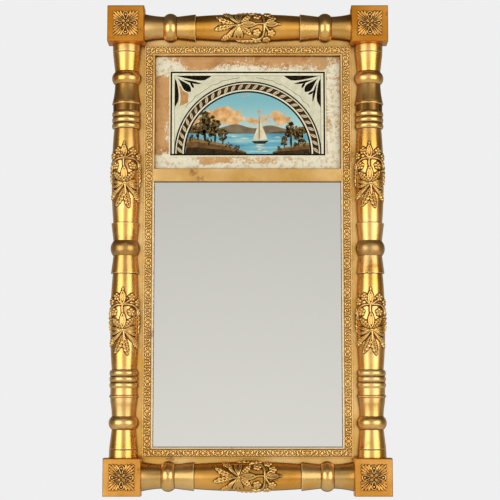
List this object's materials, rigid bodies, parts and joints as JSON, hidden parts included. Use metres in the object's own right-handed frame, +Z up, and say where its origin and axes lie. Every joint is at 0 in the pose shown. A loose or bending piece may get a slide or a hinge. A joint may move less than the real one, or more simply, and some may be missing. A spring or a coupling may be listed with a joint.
{
  "type": "eglomise mirror",
  "caption": "Wall mirror with a reverse-painted glass tablet over a looking glass, in a gilded frame of split balusters and rosette corner blocks, hung from swinging rings on its back",
  "frame": {"origin": "middle of the back face, on the plane of the wall, at half the object's height and width", "axes": "X to the right as seen from the front, Y from the front to the wall, Z up"},
  "size_m": [0.528, 0.074, 0.914],
  "materials": {
    "gilded_wood": "burnished gold leaf over red clay on pine, worn at the rims",
    "gilded_composition": "cast composition ornament with matt and burnished gold leaf",
    "frame_pine": "pine, gilded on the front, ochre wash on the edges, bare on the back",
    "bare_pine": "bare aged pine, hand planed",
    "clear_glass": "old clear sheet glass",
    "paint_film": "oil paint on the back of the glass, flaked at the border",
    "looking_glass": "silvered plate, slightly grey with age",
    "brass": "tarnished brass",
    "iron": "dark oxidised iron"
  },
  "bodies": {
    "frame": {"backboard_lower": "bare_pine", "backboard_nails": "iron", "backboard_upper": "bare_pine", "baluster_bottom": "gilded_wood", "baluster_left": "gilded_wood", "baluster_right": "gilded_wood", "baluster_screws": "iron", "baluster_top": "gilded_wood", "block_screws": "iron", "bottom_rail": "frame_pine", "corner_block_bottom_left": "gilded_wood", "corner_block_bottom_right": "gilded_wood", "corner_block_top_left": "gilded_wood", "corner_block_top_right": "gilded_wood", "divider_bar": "gilded_wood", "frame_pegs": "bare_pine", "glazing_blocks": "bare_pine", "hanger_plate_left": "brass", "hanger_plate_right": "brass", "hanger_screws": "iron", "leaf_ornament_bottom": "gilded_composition", "leaf_ornament_left_lower": "gilded_composition", "leaf_ornament_left_upper": "gilded_composition", "leaf_ornament_right_lower": "gilded_composition", "leaf_ornament_right_upper": "gilded_composition", "leaf_ornament_top": "gilded_composition", "mirror_plate": "looking_glass", "moulding_bottom": "gilded_wood", "moulding_left": "gilded_wood", "moulding_right": "gilded_wood", "moulding_top": "gilded_wood", "ornament_strip_bottom": "gilded_composition", "ornament_strip_left": "gilded_composition", "ornament_strip_right": "gilded_composition", "ornament_strip_top": "gilded_composition", "reverse_painting": "paint_film", "rosette_bottom_left": "gilded_composition", "rosette_bottom_right": "gilded_composition", "rosette_top_left": "gilded_composition", "rosette_top_right": "gilded_composition", "stile_left": "frame_pine", "stile_right": "frame_pine", "tablet_glass": "clear_glass", "top_rail": "frame_pine"},
    "ring_left": {"hanger_ring_left": "brass"},
    "ring_right": {"hanger_ring_right": "brass"}
  },
  "joints": [
    {"name": "ring_left_swing", "type": "hinge", "parent": "frame", "child": "ring_left", "pos_m": [-0.22575, -0.004, 0.23], "axis": [1, 0, 0], "range_deg": [0, 180]},
    {"name": "ring_right_swing", "type": "hinge", "parent": "frame", "child": "ring_right", "pos_m": [0.22575, -0.004, 0.23], "axis": [1, 0, 0], "range_deg": [0, 180]}
  ]
}
